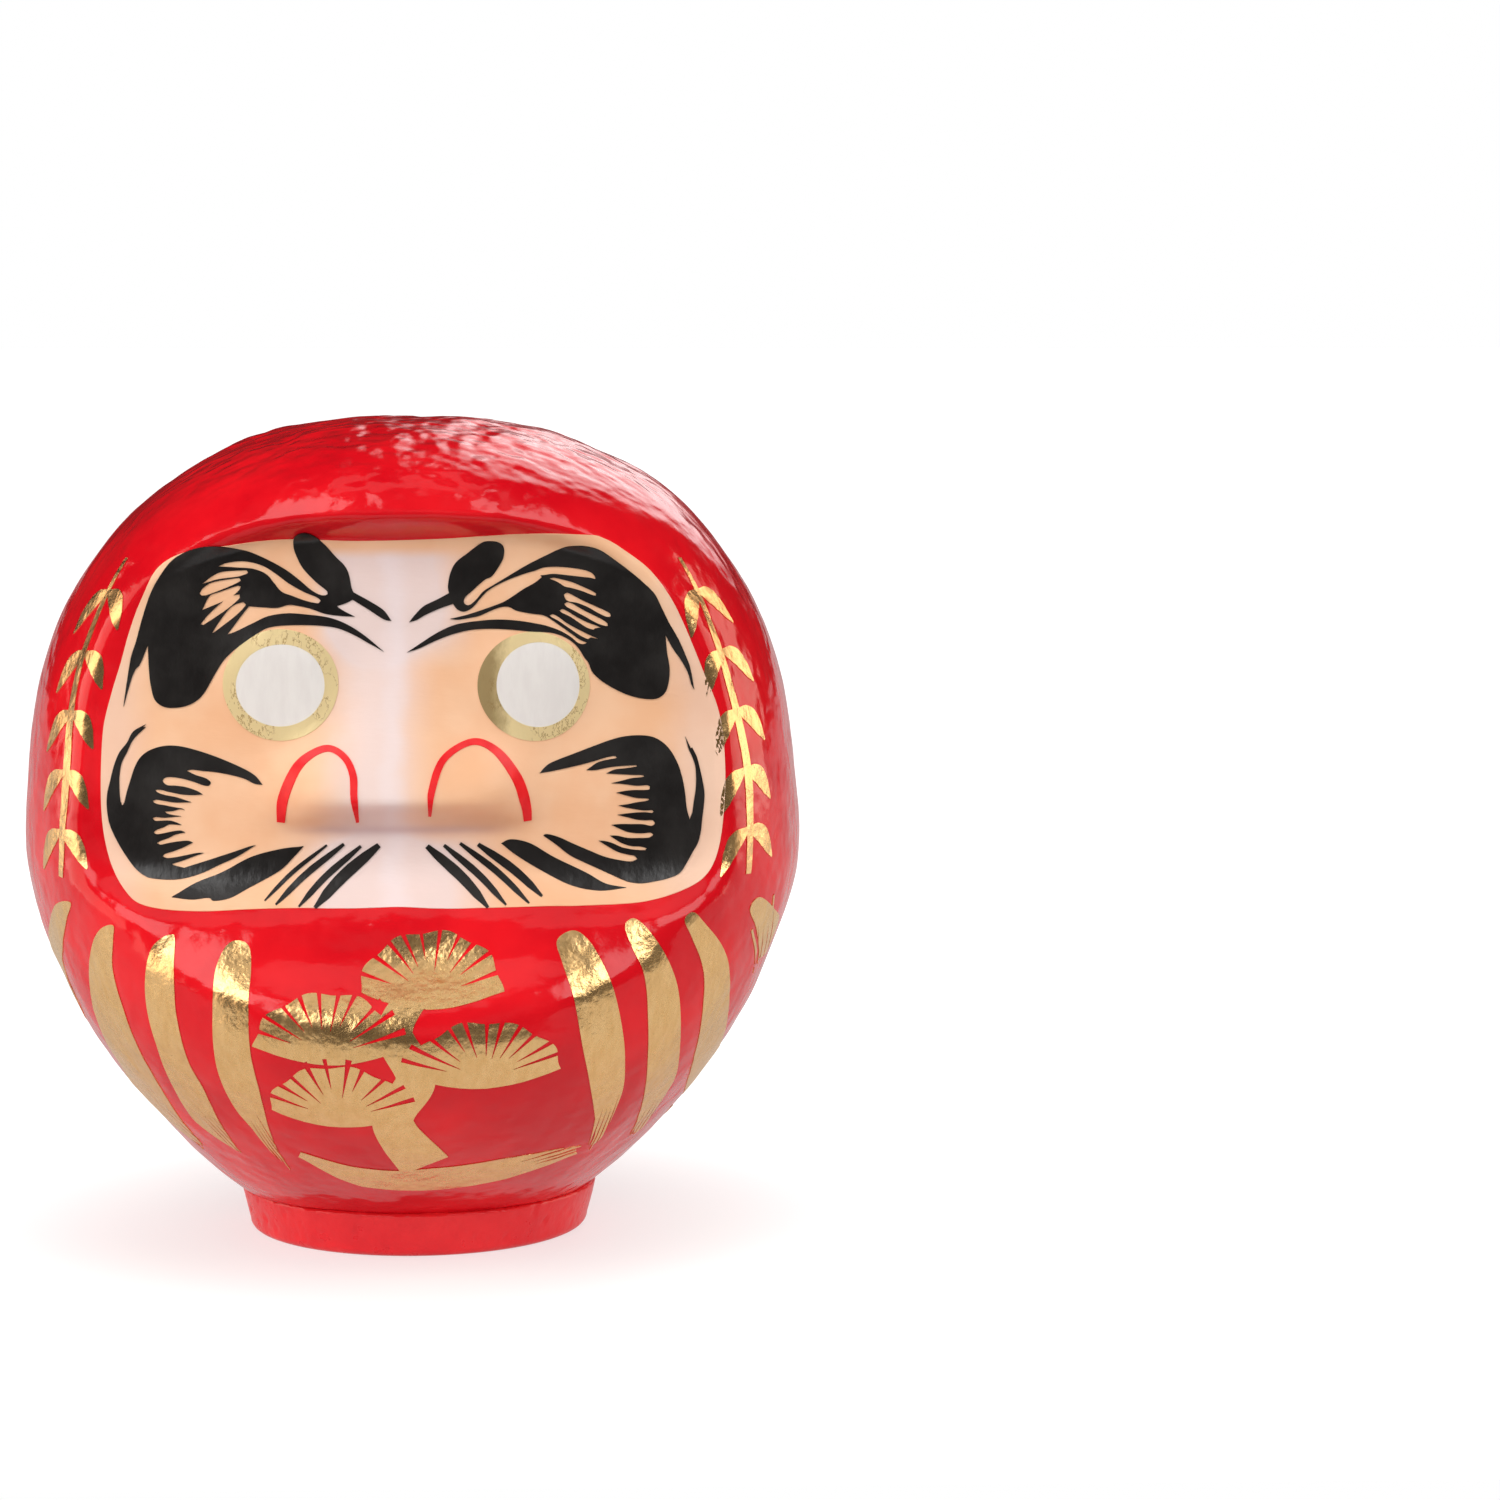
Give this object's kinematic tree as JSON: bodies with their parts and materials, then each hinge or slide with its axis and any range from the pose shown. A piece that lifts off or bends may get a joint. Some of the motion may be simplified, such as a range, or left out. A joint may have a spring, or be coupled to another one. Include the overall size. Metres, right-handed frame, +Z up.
{
  "type": "daruma doll",
  "caption": "Round hollow paper-pulp daruma doll on a low round foot, with a pressed-in painted face and gold ribs.",
  "frame": {"origin": "middle of the foot's underside, at the mouth of the peg hole", "axes": "+Z up through the crown, -Y out of the face, +X to the doll's left, the viewer's right"},
  "size_m": [0.1676, 0.1605, 0.178],
  "materials": {
    "red_enamel": "gloss",
    "red_clay": "gloss",
    "paste_paper": "matte",
    "face_flesh": "satin",
    "eye_white": "satin",
    "black_lacquer": "gloss",
    "nostril_red": "gloss",
    "gold_paint": "gloss"
  },
  "bodies": {
    "root": {"front_shell": "red_enamel", "rear_shell": "red_enamel", "seam_strip_left": "paste_paper", "seam_strip_right": "paste_paper", "seam_strip_crown": "paste_paper", "foot_weight": "red_clay", "face_ground": "face_flesh", "belly_pine": "gold_paint", "eye_white_left": "eye_white", "eye_rim_left": "gold_paint", "brow_left": "black_lacquer", "beard_left": "black_lacquer", "moustache_left": "black_lacquer", "nostril_left": "nostril_red", "ribs_left": "gold_paint", "side_sprig_left": "gold_paint", "eye_white_right": "eye_white", "eye_rim_right": "gold_paint", "brow_right": "black_lacquer", "beard_right": "black_lacquer", "moustache_right": "black_lacquer", "nostril_right": "nostril_red", "ribs_right": "gold_paint", "side_sprig_right": "gold_paint"}
  },
  "joints": []
}
